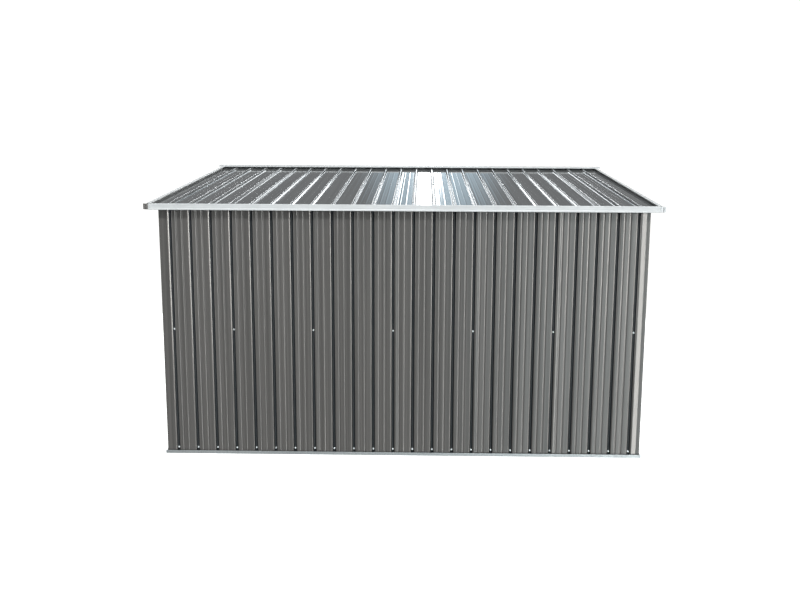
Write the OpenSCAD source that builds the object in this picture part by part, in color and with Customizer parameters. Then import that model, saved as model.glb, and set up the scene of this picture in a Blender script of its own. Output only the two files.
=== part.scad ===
// Ribbed steel storage shed with a low apex roof, in millimetres.
// X runs along the ridge, Y across it, Z up; the origin is the middle of the footprint at ground level.
// Every wall is drawn in its own turn: seen from outside it runs left to right along +x, facing -y.

/* [Overall] */
// Length of the two long walls, over the faces of the sheets
wall_length = 3205; // [2950:5:3900]
// Depth of the shed from long wall to long wall, over the faces of the sheets
wall_depth = 3075; // [2500:5:3700]
// Height of the top edge of the eave fascia above the ground
eave_height = 1683; // [1400:1:2100]
// Slope of the roof in degrees
roof_angle = 14.2; // [8:0.1:20]

/* [Ribbed sheet] */
// Distance from one main rib to the next
rib_pitch = 133; // [110:1:160]
// Height of a main rib
rib_height = 12; // [8:1:18]
// Width of a main rib where it leaves the flat pan
rib_base = 27; // [22:1:36]
// Width of the flat on top of a main rib
rib_crown = 10; // [6:1:14]
// Height of the small stiffening ribs
minor_height = 2; // [1:0.5:4]
// Width of the small stiffening ribs
minor_width = 11; // [8:1:16]
// Thickness of the ribbed sheet
sheet_t = 0.8; // [0.6:0.1:1.2]
// Number of rib spaces that one sheet covers
sheet_ribs = 4; // [3:1:5]
// Width of the lap on each side of a shared rib
lap_width = 21; // [18:1:26]

/* [Roof edges] */
// How far the roof reaches past the long walls
eave_overhang = 42; // [34:1:80]
// How far the roof reaches past the end walls
end_overhang = 60; // [40:1:90]
// Height of the fascia and rake channels
trim_height = 41; // [36:1:60]
// Width of the lips of the fascia and rake channels
trim_lip = 16; // [12:1:24]
// Width of the top lip of a rake channel
rake_lip = 25; // [18:1:36]
// Height of a rake channel's top above the pan of the roof sheet
rake_rise = 18; // [16:1:26]
// Half of the width of the ridge cap, along the slope
ridge_cap_half = 60; // [45:1:110]
// Depth of the ridge cap's turned down edge
ridge_cap_edge = 7; // [4:1:12]
// How far the ridge cap reaches past the rakes
ridge_cap_reach = 24; // [5:1:40]
// How far a corner cap stands out past the rake
cap_reach = 18; // [12:1:40]
// How far a corner cap covers the eave from the rake inwards
cap_cover = 14; // [10:1:24]
// Length of a corner cap across the shed
cap_length = 50; // [36:1:80]

/* [Frame] */
// Thickness of the folded frame and trim sections
frame_t = 1.5; // [1.2:0.1:2.5]
// Height of the outer flange of the base rails
base_flange = 22; // [16:1:36]
// Height of the inner flange of the base rails
base_upstand = 34; // [24:1:60]
// Gap between the base rail's outer flange and the sheet
base_standoff = 8; // [5:1:14]
// Height of the wall rails
rail_height = 40; // [30:1:60]
// Width of the lips of the wall rails, purlins and ridge beam
rail_lip = 25; // [18:1:40]
// Height of the middle of the mid rails above the ground
mid_rail_height = 855; // [600:1:1100]
// Height of the ridge beam and the purlins
beam_height = 50; // [40:1:80]

/* [Doors] */
// Rib spaces that the doorway takes out of the front wall
doorway_ribs = 9; // [7:2:11]
// Height of the underside of the door header above the ground
doorway_height = 1556; // [1300:1:1800]
// Depth of a door leaf
leaf_depth = 22; // [20:1:28]
// How far a closed leaf reaches past the side of the doorway
leaf_lap = 36; // [28:1:60]
// Width of the folded frame round a door leaf
leaf_border = 28; // [20:1:45]
// Gap between the two closed leaves
leaf_gap = 3; // [2:1:8]
// Height of the door track
track_height = 42; // [34:1:60]
// Length of a door handle
handle_length = 140; // [100:5:220]
// Height of the middle of the door handles above the ground
handle_height = 900; // [700:5:1100]

/* [Hidden] */
fit = 0.3;
min_leg = 60;
jog = 4;
minor_places = [0.30, 0.585];
half_x = wall_length / 2;
half_y = wall_depth / 2;
slope = tan(roof_angle);
groove = rib_height + sheet_t;
rail_face = groove + fit;
long_rail_half = half_x + base_standoff + frame_t;
long_upstand = half_x - rail_face - frame_t - fit;
end_rail_half = half_y - rail_face - frame_t - fit;

// Ribs of the long and the end walls, spread evenly about the middle of each wall
long_spaces = floor((wall_length - 2 * min_leg) / rib_pitch);
end_spaces = floor((wall_depth - 2 * min_leg) / rib_pitch);
long_first = -long_spaces * rib_pitch / 2;
end_first = -end_spaces * rib_pitch / 2;

// Eave and roof planes; the roof sheet's pan lies on the plane roof_top(y)
eave_y = half_y + eave_overhang;
roof_x = half_x + end_overhang;
rib_stack = (rib_height + sheet_t) / cos(roof_angle);
eave_pan = eave_height - frame_t - fit - rib_stack - trim_lip * slope;
ridge_pan = eave_pan + eave_y * slope;
function roof_top(y) = ridge_pan - abs(y) * slope;
function roof_under(y) = roof_top(y) - (sheet_t + fit) / cos(roof_angle);
roof_spaces = floor((2 * roof_x - 200) / rib_pitch);
roof_first = -roof_spaces * rib_pitch / 2;
roof_run = eave_y / cos(roof_angle);
fascia_half = roof_x - cap_cover;
fascia_low = eave_height - trim_height;
wall_top = fascia_low + 8;
rail_top = fascia_low - 2;
gable_top = roof_under(half_y);

// Doorway, in the front wall's own turn: its sides lie on ribs, so it takes one space more where
// the wall's spaces can't be shared out evenly on both sides of it
door_spaces = doorway_ribs + (long_spaces + doorway_ribs) % 2;
door_half = door_spaces * rib_pitch / 2;
jamb_face = door_half - lap_width - fit - frame_t;
jamb_flange = door_half + rib_base / 2 + fit;
leaf_back = sheet_t + frame_t + 2 * fit + frame_t + fit;
leaf_front = leaf_back + leaf_depth;
leaf_low = base_flange + 3;
track_high = fascia_low - fit;
leaf_high = track_high - frame_t - 4;
leaf_edge = jamb_face + leaf_lap;
door_lap = (long_spaces - door_spaces) / 2;

// Outline points: a main rib or a small rib about c, raised by lift
function main_rib(c, lift = 0) = [
  [c - rib_base / 2, lift],
  [c - rib_crown / 2, rib_height + lift],
  [c + rib_crown / 2, rib_height + lift],
  [c + rib_base / 2, lift]
];
function minor_rib(c) = [
  [c - minor_width / 2, 0],
  [c - minor_width / 4, minor_height],
  [c + minor_width / 4, minor_height],
  [c + minor_width / 2, 0]
];
function minor_pair(c) = [for (place = minor_places) each minor_rib(c + place * rib_pitch)];
// Start of a sheet that laps over the one before it on the rib at c
function lap_start(c, lift) = concat(
  [[c - lap_width, lift]],
  main_rib(c, lift),
  [[c + lap_width + 1, lift], [c + lap_width + 1 + jog, 0]]
);
// Pans and ribs from the one after rib a up to rib b, where rib 0 stands at x0
function pans(x0, a, b) = [
  for (i = [a:1:b - 1])
    each concat(minor_pair(x0 + i * rib_pitch), main_rib(x0 + (i + 1) * rib_pitch))
];
function lap_end(c) = [[c + lap_width - 1, 0]];
function whole_sheet(x0, a, b, lift) = concat(
  lap_start(x0 + a * rib_pitch, lift), pans(x0, a, b), lap_end(x0 + b * rib_pitch)
);
function shifted(line, dy) = [for (p = line) [p[0], p[1] + dy]];
function backwards(line) = [for (i = [len(line) - 1:-1:0]) line[i]];

// Ribs on which sheets lap: a short first sheet, then whole ones
function lap_ribs(spaces) = let (short = spaces % sheet_ribs)
  concat(short > 0 ? [0] : [], [for (i = [short:sheet_ribs:spaces]) i]);

// Band of sheet between a line of points lowered and raised
module band(line, low, high) {
  polygon(concat(shifted(line, low), backwards(shifted(line, high))));
}

// Puts a wall's own turn in place: 0 rear, 1 right end, 2 front, 3 left end
module turn(side) {
  rotate([0, 0, 90 * side]) children();
}

// Folded channel along x: points are given in (y, z)
module along_x(from, to) {
  translate([from, 0, 0]) rotate([90, 0, 90]) linear_extrude(to - from) children();
}

// Wall sheets between laps, every second one from the given start
module wall_sheets(x0, laps, start, face, top) {
  color("#55585a")
    for (i = [start:2:len(laps) - 2])
      translate([0, -face, frame_t])
        linear_extrude(top - frame_t)
          band(whole_sheet(x0, laps[i], laps[i + 1], -sheet_t), 0, sheet_t);
}

// Space under the roof sheets, for trimming an end wall's sheets and rails
module under_roof(drop, depth) {
  translate([0, -half_x - 10, 0]) rotate([-90, 0, 0]) mirror([0, 1, 0]) linear_extrude(depth)
    polygon([
      [-half_y, 0], [half_y, 0], [half_y, gable_top - drop],
      [0, roof_under(0) - drop], [-half_y, gable_top - drop]
    ]);
}

module end_wall_sheets(start) {
  intersection() {
    wall_sheets(end_first, lap_ribs(end_spaces), start, half_x, ridge_pan);
    under_roof(0, 60);
  }
}

// Front wall sheets, on the same ribs counted from either end towards the doorway
module front_wall_sheets(start) {
  near = lap_ribs(door_lap);
  far = [for (i = backwards(near)) long_spaces - i];
  for (laps = [near, far]) wall_sheets(long_first, laps, start, half_y, wall_top);
}

// Corner sheet at the right of a wall: laps over its last rib and runs round to the next wall's first
module corner_sheet(face, last, next_face, next_first) {
  near = lap_start(last, -sheet_t);
  turned = concat(main_rib(next_first), lap_end(next_first));
  outer = concat(
    [for (p = near) [p[0], p[1] - face]],
    [[next_face, -face]],
    [for (p = turned) [next_face - p[1], p[0]]]
  );
  inner = concat(
    [for (p = near) [p[0], p[1] - face + sheet_t]],
    [[next_face - sheet_t, -face + sheet_t]],
    [for (p = turned) [next_face - p[1] - sheet_t, p[0]]]
  );
  color("#505356")
    translate([0, 0, frame_t])
      linear_extrude(wall_top - frame_t)
        polygon(concat(outer, backwards(inner)));
}

// Base rail: an outer flange clear of the sheet and a floor under it, with taller inner
// flanges between the given places
module base_rail(face, half, upstands) {
  out = -face - base_standoff - frame_t;
  back = -face + rail_face + frame_t;
  color("#c3c7ca") {
    along_x(-half, half)
      polygon([
        [out, 0], [back, 0], [back, frame_t], [out + frame_t, frame_t],
        [out + frame_t, base_flange], [out, base_flange]
      ]);
    for (place = upstands)
      translate([place[0], back - frame_t, 0]) cube([place[1] - place[0], frame_t, base_upstand]);
  }
}

// Wall rail: a channel against the backs of the ribs, open to the inside
module wall_rail(face, from, to, middle) {
  front = -face + rail_face;
  low = middle - rail_height / 2;
  high = middle + rail_height / 2;
  color("#b9bdc0")
    along_x(from, to)
      polygon([
        [front, low], [front + rail_lip, low], [front + rail_lip, low + frame_t],
        [front + frame_t, low + frame_t], [front + frame_t, high - frame_t],
        [front + rail_lip, high - frame_t], [front + rail_lip, high], [front, high]
      ]);
}

// Top rail of a long wall: its upper lip lies along the underside of the roof sheets
module top_rail(inset) {
  front = -half_y + rail_face + inset;
  back = front + rail_lip;
  low = rail_top - rail_height;
  end = half_x - rail_face - rail_lip - fit;
  color("#b9bdc0")
    along_x(-end, end)
      polygon([
        [front, low], [back, low], [back, low + frame_t], [front + frame_t, low + frame_t],
        [front + frame_t, roof_under(front + frame_t) - frame_t],
        [back, roof_under(back) - frame_t], [back, roof_under(back)], [front, roof_under(front)]
      ]);
}

// Sloping rails on an end wall, in two halves that meet under the ridge
module gable_rail() {
  front = -half_x + rail_face;
  low_end = half_y - rail_face;
  color("#b9bdc0")
    for (side = [-1, 1])
      difference() {
        translate([0, front, 0]) rotate([-90, 0, 0]) mirror([0, 1, 0]) linear_extrude(rail_lip)
          polygon([
            [side * fit, roof_under(fit)], [side * low_end, roof_under(low_end)],
            [side * low_end, roof_under(low_end) - rail_height],
            [side * fit, roof_under(fit) - rail_height]
          ]);
        translate([0, front + frame_t, 0]) rotate([-90, 0, 0]) mirror([0, 1, 0]) linear_extrude(rail_lip)
          polygon([
            [-side, roof_under(0) - frame_t], [side * (low_end + 1), roof_under(low_end + 1) - frame_t],
            [side * (low_end + 1), roof_under(low_end + 1) - rail_height + frame_t],
            [-side, roof_under(0) - rail_height + frame_t]
          ]);
      }
}

// Ridge beam: a folded hat that follows both slopes
module ridge_beam() {
  end = half_x - rail_face - rail_lip - fit;
  wide = rail_lip + 10;
  low = roof_under(wide) - beam_height;
  color("#b9bdc0")
    along_x(-end, end)
      polygon([
        [-wide, low], [-wide, roof_under(wide)], [0, roof_under(0)], [wide, roof_under(wide)], [wide, low],
        [wide - frame_t, low], [wide - frame_t, roof_under(wide - frame_t) - frame_t],
        [0, roof_under(0) - frame_t],
        [frame_t - wide, roof_under(wide - frame_t) - frame_t], [frame_t - wide, low]
      ]);
}

// Purlins half way up each slope
module purlins() {
  end = half_x - rail_face - rail_lip - fit;
  middle = (eave_y + ridge_cap_half) / 2;
  near = middle - rail_lip / 2;
  far = middle + rail_lip / 2;
  low = roof_under(far) - beam_height;
  color("#b9bdc0")
    for (side = [0, 2])
      turn(side) along_x(-end, end)
        polygon([
          [-far, low], [-near, low], [-near, low + frame_t], [frame_t - far, low + frame_t],
          [frame_t - far, roof_under(far - frame_t) - frame_t],
          [-near, roof_under(near) - frame_t], [-near, roof_under(near)], [-far, roof_under(far)]
        ]);
}

// Places a shape drawn in (x, height above the pan) along the slope, from the eave up
module on_slope() {
  translate([0, -eave_y, eave_pan])
    rotate([roof_angle, 0, 0])
      translate([0, roof_run + 40, 0])
        rotate([90, 0, 0])
          linear_extrude(roof_run + 80)
            children();
}

// Everything of one slope between two distances from the ridge line
module slope_part(far, near) {
  intersection() {
    children();
    translate([-roof_x - 10, -far, eave_height - 200])
      cube([2 * roof_x + 20, far - near, ridge_pan - eave_height + 400]);
  }
}

// Roof sheets of one slope, every second one from the given start
module roof_sheets(start) {
  laps = [for (i = [sheet_ribs - 1:sheet_ribs:roof_spaces - 2]) i];
  edge = roof_x - frame_t - fit;
  first_pan = [
    for (place = minor_places)
      let (c = roof_first + (place - 1) * rib_pitch)
        if (c - minor_width > -roof_x + rake_lip) each minor_rib(c)
  ];
  last_pan = [
    for (place = minor_places)
      let (c = roof_first + (roof_spaces + place) * rib_pitch)
        if (c + minor_width < roof_x - rake_lip) each minor_rib(c)
  ];
  count = len(laps);
  color("#5d6163")
    slope_part(eave_y - frame_t - fit, 8)
      on_slope()
        for (i = [start:2:count])
          band(
            concat(
              i == 0
                ? concat([[-edge, 0]], first_pan, main_rib(roof_first), pans(roof_first, 0, laps[0]))
                : concat(
                    lap_start(roof_first + laps[i - 1] * rib_pitch, sheet_t),
                    pans(roof_first, laps[i - 1], i == count ? roof_spaces : laps[i])
                  ),
              i == count ? concat(last_pan, [[edge, 0]]) : lap_end(roof_first + laps[i] * rib_pitch)
            ),
            -sheet_t, 0
          );
}

// Eave fascia: a channel that closes the ends of the roof sheets
module fascia() {
  color("#d3d8da")
    along_x(-fascia_half, fascia_half)
      polygon([
        [-eave_y, fascia_low], [trim_lip - eave_y, fascia_low],
        [trim_lip - eave_y, fascia_low + frame_t], [frame_t - eave_y, fascia_low + frame_t],
        [frame_t - eave_y, eave_height - frame_t], [trim_lip - eave_y, eave_height - frame_t],
        [trim_lip - eave_y, eave_height], [-eave_y, eave_height]
      ]);
}

// Rake channel up one edge of a slope; side is -1 for its left edge and 1 for its right
module rake(side) {
  low = rake_rise - trim_height;
  inner = half_x + sheet_t + 2 * fit;
  color("#d3d8da")
    slope_part(eave_y - trim_lip - fit, fit / 2)
      on_slope()
        polygon([
          [side * inner, low], [side * roof_x, low], [side * roof_x, rake_rise],
          [side * (roof_x - rake_lip), rake_rise], [side * (roof_x - rake_lip), rake_rise - frame_t],
          [side * (roof_x - frame_t), rake_rise - frame_t], [side * (roof_x - frame_t), low + frame_t],
          [side * inner, low + frame_t]
        ]);
}

// Ridge cap over the meeting sheets: its turned down edges stand on the rakes
module ridge_cap() {
  end = roof_x + ridge_cap_reach;
  reach = ridge_cap_half * cos(roof_angle);
  foot = (rake_rise + fit) / cos(roof_angle);
  top = foot + ridge_cap_edge + frame_t;
  function cap(y, up) = roof_top(y) + up;
  color("#c9ced0")
    along_x(-end, end)
      polygon([
        [-reach, cap(reach, foot)], [-reach, cap(reach, top)], [0, cap(0, top)],
        [reach, cap(reach, top)], [reach, cap(reach, foot)], [reach - frame_t, cap(reach - frame_t, foot)],
        [reach - frame_t, cap(reach - frame_t, top - frame_t)], [0, cap(0, top - frame_t)],
        [frame_t - reach, cap(reach - frame_t, top - frame_t)],
        [frame_t - reach, cap(reach - frame_t, foot)]
      ]);
}

// Moulded corner cap: closes the end of a fascia and wraps round the foot of the rake
module corner_cap() {
  low = fascia_low + 3;
  high = eave_height - 1;
  cut = 5;
  wall = 2.5;
  inner = fascia_half + fit;
  outer = roof_x + cap_reach;
  front = -eave_y - wall / 2;
  step = frame_t - eave_y;
  back = front + cap_length;
  difference() {
    translate([0, 0, low])
      linear_extrude(high - low)
        polygon([
          [inner, front], [outer - cut, front], [outer, front + cut], [outer, back - cut],
          [outer - cut, back], [roof_x + fit, back], [roof_x + fit, step], [inner, step]
        ]);
    translate([roof_x + fit + wall, front + wall, low - 1])
      cube([outer - roof_x - fit - 2 * wall, cap_length - 2 * wall, high - low + 1 - wall]);
  }
}

module corner_caps(side) {
  color(side < 0 ? "#55585a" : "#c9ced0") {
    mirror([side < 0 ? 1 : 0, 0, 0]) corner_cap();
    mirror([side < 0 ? 1 : 0, 0, 0]) mirror([0, 1, 0]) corner_cap();
  }
}

// Header plate over the doorway, folded in at its lower edge
module door_header() {
  end = jamb_face - fit;
  color("#c3c7ca")
    along_x(-end, end)
      polygon([
        [-half_y, doorway_height], [-half_y + groove, doorway_height],
        [-half_y + groove, doorway_height + frame_t], [frame_t - half_y, doorway_height + frame_t],
        [frame_t - half_y, wall_top], [-half_y, wall_top]
      ]);
}

// Jambs: channels round the edges of the wall sheets beside the doorway
module door_jambs() {
  out = -half_y - sheet_t - fit - frame_t;
  back = -half_y + groove + fit + frame_t;
  color("#c3c7ca")
    for (side = [0, 1])
      mirror([side, 0, 0])
        translate([0, 0, frame_t])
          linear_extrude(wall_top - frame_t)
            polygon([
              [jamb_face, out], [jamb_flange, out], [jamb_flange, out + frame_t],
              [jamb_face + frame_t, out + frame_t], [jamb_face + frame_t, back - frame_t],
              [jamb_flange, back - frame_t], [jamb_flange, back], [jamb_face, back]
            ]);
}

// Door track: a channel open downwards, fixed to the jambs under the eave
module door_track() {
  back = -half_y - leaf_back + frame_t + fit;
  front = -half_y - leaf_front - frame_t - fit;
  end = 2 * leaf_edge - leaf_lap;
  low = track_high - track_height;
  color("#c3c7ca")
    along_x(-end, end)
      polygon([
        [front, low], [front + frame_t, low], [front + frame_t, track_high - frame_t],
        [back - frame_t, track_high - frame_t], [back - frame_t, low],
        [back, low], [back, track_high], [front, track_high]
      ]);
}

// Frame of a sliding leaf: a folded border round the sheet; side -1 is left and 1 right, from outside
module door_frame(side) {
  inner_edge = leaf_gap / 2;
  width = leaf_edge - inner_edge;
  height = leaf_high - leaf_low;
  color("#c9cdd0")
    mirror([side < 0 ? 1 : 0, 0, 0])
      translate([inner_edge, -half_y - leaf_front, leaf_low])
        difference() {
          cube([width, leaf_depth, height]);
          translate([frame_t, frame_t, frame_t])
            cube([width - 2 * frame_t, leaf_depth, height - 2 * frame_t]);
          translate([leaf_border, -1, leaf_border])
            cube([width - 2 * leaf_border, leaf_depth, height - 2 * leaf_border]);
        }
}

// Ribbed sheets of the sliding leaves, behind their frames
module door_sheets() {
  left = leaf_gap / 2 + frame_t + fit;
  right = leaf_edge - frame_t - fit;
  spaces = floor((right - left - rib_base - 2 * leaf_border) / rib_pitch);
  first = (left + right - spaces * rib_pitch) / 2;
  line = concat([[left, 0]], main_rib(first), pans(first, 0, spaces), [[right, 0]]);
  color("#55585a")
    for (side = [0, 1])
      mirror([side, 0, 0])
        translate([0, -half_y - leaf_front + frame_t + fit, leaf_low + frame_t + fit])
          linear_extrude(leaf_high - leaf_low - 2 * frame_t - 2 * fit)
            band(line, 0, sheet_t);
}

// Plain pull handles on the meeting edges of the leaves
module door_handles() {
  reach = 13;
  bar = 8;
  middle = leaf_gap / 2 + leaf_border / 2;
  color("#3a3c3e")
    for (side = [0, 1])
      mirror([side, 0, 0])
        translate([middle - bar / 2, -half_y - leaf_front - reach, handle_height - handle_length / 2])
          difference() {
            cube([bar, reach, handle_length]);
            translate([-1, 4, 12]) cube([bar + 2, reach, handle_length - 24]);
          }
}

turn(0) base_rail(half_y, long_rail_half, [[-long_upstand, long_upstand]]);  // base_rail_rear
turn(2)  // base_rail_front
    base_rail(
      half_y, long_rail_half, [[-long_upstand, -jamb_flange - fit], [jamb_flange + fit, long_upstand]]
    );
turn(3) base_rail(half_x, end_rail_half, [[-end_rail_half, end_rail_half]]);  // base_rail_left
turn(1) base_rail(half_x, end_rail_half, [[-end_rail_half, end_rail_half]]);  // base_rail_right
turn(0) wall_sheets(long_first, lap_ribs(long_spaces), 0, half_y, wall_top);  // rear_wall_sheets_a
turn(0) wall_sheets(long_first, lap_ribs(long_spaces), 1, half_y, wall_top);  // rear_wall_sheets_b
turn(2) front_wall_sheets(0);  // front_wall_sheets_a
turn(2) front_wall_sheets(1);  // front_wall_sheets_b
turn(3) end_wall_sheets(0);  // left_end_sheets_a
turn(3) end_wall_sheets(1);  // left_end_sheets_b
turn(1) end_wall_sheets(0);  // right_end_sheets_a
turn(1) end_wall_sheets(1);  // right_end_sheets_b
turn(0) corner_sheet(half_y, -long_first, half_x, end_first);  // corner_rear_right
turn(1) corner_sheet(half_x, -end_first, half_y, long_first);  // corner_front_right
turn(2) corner_sheet(half_y, -long_first, half_x, end_first);  // corner_front_left
turn(3) corner_sheet(half_x, -end_first, half_y, long_first);  // corner_rear_left
turn(0) top_rail(0);  // top_rail_rear
turn(2) top_rail(frame_t + fit);  // top_rail_front
turn(3) gable_rail();  // gable_rail_left
turn(1) gable_rail();  // gable_rail_right
turn(0) wall_rail(half_y, rail_face - half_x, half_x - rail_face, mid_rail_height);  // mid_rail_rear
turn(2)  // mid_rail_front
    for (side = [0, 1])
      mirror([side, 0, 0])
        wall_rail(half_y, jamb_flange + fit, half_x - rail_face, mid_rail_height);
for (side = [1, 3])  // mid_rails_ends
    turn(side)
      wall_rail(
        half_x, rail_face + rail_lip + fit - half_y, half_y - rail_face - rail_lip - fit, mid_rail_height
      );
ridge_beam();
purlins();
turn(0) roof_sheets(0);  // roof_rear_sheets_a
turn(0) roof_sheets(1);  // roof_rear_sheets_b
turn(2) roof_sheets(0);  // roof_front_sheets_a
turn(2) roof_sheets(1);  // roof_front_sheets_b
turn(0) fascia();  // fascia_rear
turn(2) fascia();  // fascia_front
turn(0) rake(-1);  // rake_rear_left
turn(0) rake(1);  // rake_rear_right
turn(2) rake(1);  // rake_front_left
turn(2) rake(-1);  // rake_front_right
ridge_cap();
corner_caps(-1);  // corner_caps_left
corner_caps(1);  // corner_caps_right
turn(2) door_header();
turn(2) door_jambs();
turn(2) door_track();
turn(2) door_sheets();
turn(2) door_frame(-1);  // door_frame_left
turn(2) door_frame(1);  // door_frame_right
turn(2) door_handles();
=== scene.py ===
import math

import bmesh
import bpy
from mathutils import Matrix, Vector, noise


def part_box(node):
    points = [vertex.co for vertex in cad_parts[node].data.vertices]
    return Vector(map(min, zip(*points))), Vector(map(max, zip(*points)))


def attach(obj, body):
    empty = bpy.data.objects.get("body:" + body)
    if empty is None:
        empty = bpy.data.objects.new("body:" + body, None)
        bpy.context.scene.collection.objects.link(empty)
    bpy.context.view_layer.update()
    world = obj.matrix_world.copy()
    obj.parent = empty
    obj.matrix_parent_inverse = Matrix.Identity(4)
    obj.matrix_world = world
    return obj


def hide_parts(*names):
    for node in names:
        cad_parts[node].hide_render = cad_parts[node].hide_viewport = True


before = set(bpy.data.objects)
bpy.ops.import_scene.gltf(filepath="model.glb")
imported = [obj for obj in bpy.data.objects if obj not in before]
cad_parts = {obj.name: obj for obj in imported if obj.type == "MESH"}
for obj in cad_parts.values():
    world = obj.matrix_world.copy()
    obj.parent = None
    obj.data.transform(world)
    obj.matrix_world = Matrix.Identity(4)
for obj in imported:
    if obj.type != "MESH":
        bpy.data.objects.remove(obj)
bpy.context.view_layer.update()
scene = bpy.context.scene
print("frame loaded:", len(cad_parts), "nodes")

# places read from the frame, in metres
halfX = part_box("corner_rear_right")[1].x
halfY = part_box("corner_front_right")[1].y
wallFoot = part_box("corner_rear_right")[0].z
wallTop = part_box("corner_rear_right")[1].z
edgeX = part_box("rake_rear_right")[1].x
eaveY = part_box("fascia_front")[1].y
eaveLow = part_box("fascia_front")[0].z
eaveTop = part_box("fascia_front")[1].z
fit = 0.0003  # clearance between pieces that seat on each other
tiny = 1e-6  # keeps a count that comes out whole from being rounded down

ribbed = {
    "pitch": 0.133,
    "ribDeep": 0.012,
    "ribFoot": 0.027,
    "wallFold": (0.027, 0.007, 0.002),  # width at the pan and at the crown, and small rib depth
    "roofFold": (0.0235, 0.0115, 0.0003),
    "smallWide": 0.011,
    "smallPlaces": (0.30, 0.585),
    "thick": 0.0008,
    "lapReach": 0.021,
    "lapJog": 0.004,
    "lapEase": 0.001,
    "ribsPerSheet": 4,
    "shortestLeg": 0.06,
    "bend": 0.0036,
    "bendSteps": 5,
}


# outlines of the ribbed sheet, as (place along the wall, depth of the groove)
def mainRib(c, fold, lift=0.0):
    foot, crown, deep = fold[0] / 2, fold[1] / 2, ribbed["ribDeep"]
    return [(c - foot, lift), (c - crown, deep + lift), (c + crown, deep + lift), (c + foot, lift)]


def smallRib(c, fold):
    wide, deep = ribbed["smallWide"], fold[2]
    return [(c - wide / 2, 0), (c - wide / 4, deep), (c + wide / 4, deep), (c + wide / 2, 0)]


def lapStart(c, fold, lift):
    reach, ease = ribbed["lapReach"], ribbed["lapEase"]
    step = [(c + reach + ease, lift), (c + reach + ease + ribbed["lapJog"], 0)]
    return [(c - reach, lift)] + mainRib(c, fold, lift) + step


def lapEnd(c):
    return [(c + ribbed["lapReach"] - ribbed["lapEase"], 0)]


def pansBetween(first, fold, a, b):
    line = []
    for i in range(a, b):
        for place in ribbed["smallPlaces"]:
            line += smallRib(first + (i + place) * ribbed["pitch"], fold)
        line += mainRib(first + (i + 1) * ribbed["pitch"], fold)
    return line


def wholeSheet(first, fold, a, b, lift):
    start = lapStart(first + a * ribbed["pitch"], fold, lift)
    return start + pansBetween(first, fold, a, b) + lapEnd(first + b * ribbed["pitch"])


def lapRibs(spaces):
    short = spaces % ribbed["ribsPerSheet"]
    return ([0] if short else []) + list(range(short, spaces + 1, ribbed["ribsPerSheet"]))


def ribSpaces(length):
    return math.floor((length - 2 * ribbed["shortestLeg"]) / ribbed["pitch"] + tiny)


longSpaces, endSpaces = ribSpaces(2 * halfX), ribSpaces(2 * halfY)
longFirst = -longSpaces * ribbed["pitch"] / 2
endFirst = -endSpaces * ribbed["pitch"] / 2


def softBends(line, reach, steps):
    # every corner of the line becomes a short curve that starts and ends reach away from it
    soft = [Vector(line[0])]
    for before, corner, after in zip(line, line[1:], line[2:]):
        corner = Vector(corner)
        back, forth = Vector(before) - corner, Vector(after) - corner
        start = corner + back.normalized() * min(reach, back.length * 0.45)
        end = corner + forth.normalized() * min(reach, forth.length * 0.45)
        for i in range(steps + 1):
            t = i / steps
            soft.append(start * (1 - t) ** 2 + corner * 2 * t * (1 - t) + end * t * t)
    return soft + [Vector(line[-1])]


def moved(line, shift):
    return [p + Vector((0, shift)) for p in line]


def backFace(line, thick):
    # the same line one thickness to its left, square to the line everywhere
    back = []
    for i, p in enumerate(line):
        before = (p - line[max(i - 1, 0)]).normalized()
        after = (line[min(i + 1, len(line) - 1)] - p).normalized()
        along = (before + after).normalized()
        square = Vector((-along.y, along.x))
        edge = after if after.length > 0 else before
        cosine = max(0.4, along.dot(edge))
        back.append(p + square * thick / cosine)
    return back


def newShape():
    return {"points": [], "faces": [], "depth": []}


def addStrip(shape, front, back, rows, place, depthOf=None, closed=False):
    # one sheet: two faces between lines of points, swept through the rows
    wide, first = len(front), len(shape["points"])
    around = list(range(wide)) + list(range(2 * wide - 1, wide - 1, -1))
    for row in rows:
        for p in list(front) + list(back):
            shape["points"].append(place(p, row))
            shape["depth"].append(depthOf(p) if depthOf else 0.0)
    spans = len(rows) if closed else len(rows) - 1
    for r in range(spans):
        low = first + r * 2 * wide
        high = first + (r + 1) % len(rows) * 2 * wide
        for a, b in zip(around, around[1:] + around[:1]):
            shape["faces"].append((low + a, low + b, high + b, high + a))
    if not closed:
        for end in (first, first + (len(rows) - 1) * 2 * wide):
            for i in range(wide - 1):
                shape["faces"].append((end + i, end + i + 1, end + wide + i + 1, end + wide + i))


def joinRings(shape, first, count, rings):
    # quads between rings of count points, one ring after the other
    for r in range(rings - 1):
        low, high = first + r * count, first + (r + 1) * count
        for i in range(count):
            j = (i + 1) % count
            shape["faces"].append((low + i, low + j, high + j, high + i))


def closeEnds(shape, first, count, rings):
    last = first + (rings - 1) * count
    shape["faces"].append(tuple(range(last, last + count)))
    shape["faces"].append(tuple(range(first + count - 1, first - 1, -1)))


sharpAngle = 38  # degrees; folds steeper than this stay crisp


def makePiece(name, shape, finish, nodes=()):
    mesh = bpy.data.meshes.new(name)
    mesh.from_pydata(shape["points"], [], shape["faces"])
    bm = bmesh.new()
    bm.from_mesh(mesh)
    bmesh.ops.recalc_face_normals(bm, faces=bm.faces)
    for edge in bm.edges:
        edge.smooth = edge.calc_face_angle(0) < math.radians(sharpAngle)
    for face in bm.faces:
        face.smooth = True
    bm.to_mesh(mesh)
    bm.free()
    # depth of each point in its groove, which the charcoal paint reads to paint shade into the
    # grooves
    depth = mesh.attributes.new("grooveDepth", "FLOAT", "POINT")
    depth.data.foreach_set("value", shape["depth"])
    piece = bpy.data.objects.new(name, mesh)
    scene.collection.objects.link(piece)
    mesh.materials.append(finish)
    weighted = piece.modifiers.new("evenShading", "WEIGHTED_NORMAL")
    weighted.keep_sharp = True
    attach(piece, "root")
    if nodes:
        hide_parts(*nodes)


def levels(low, high, count):
    return [low + (high - low) * i / count for i in range(count + 1)]


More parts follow.
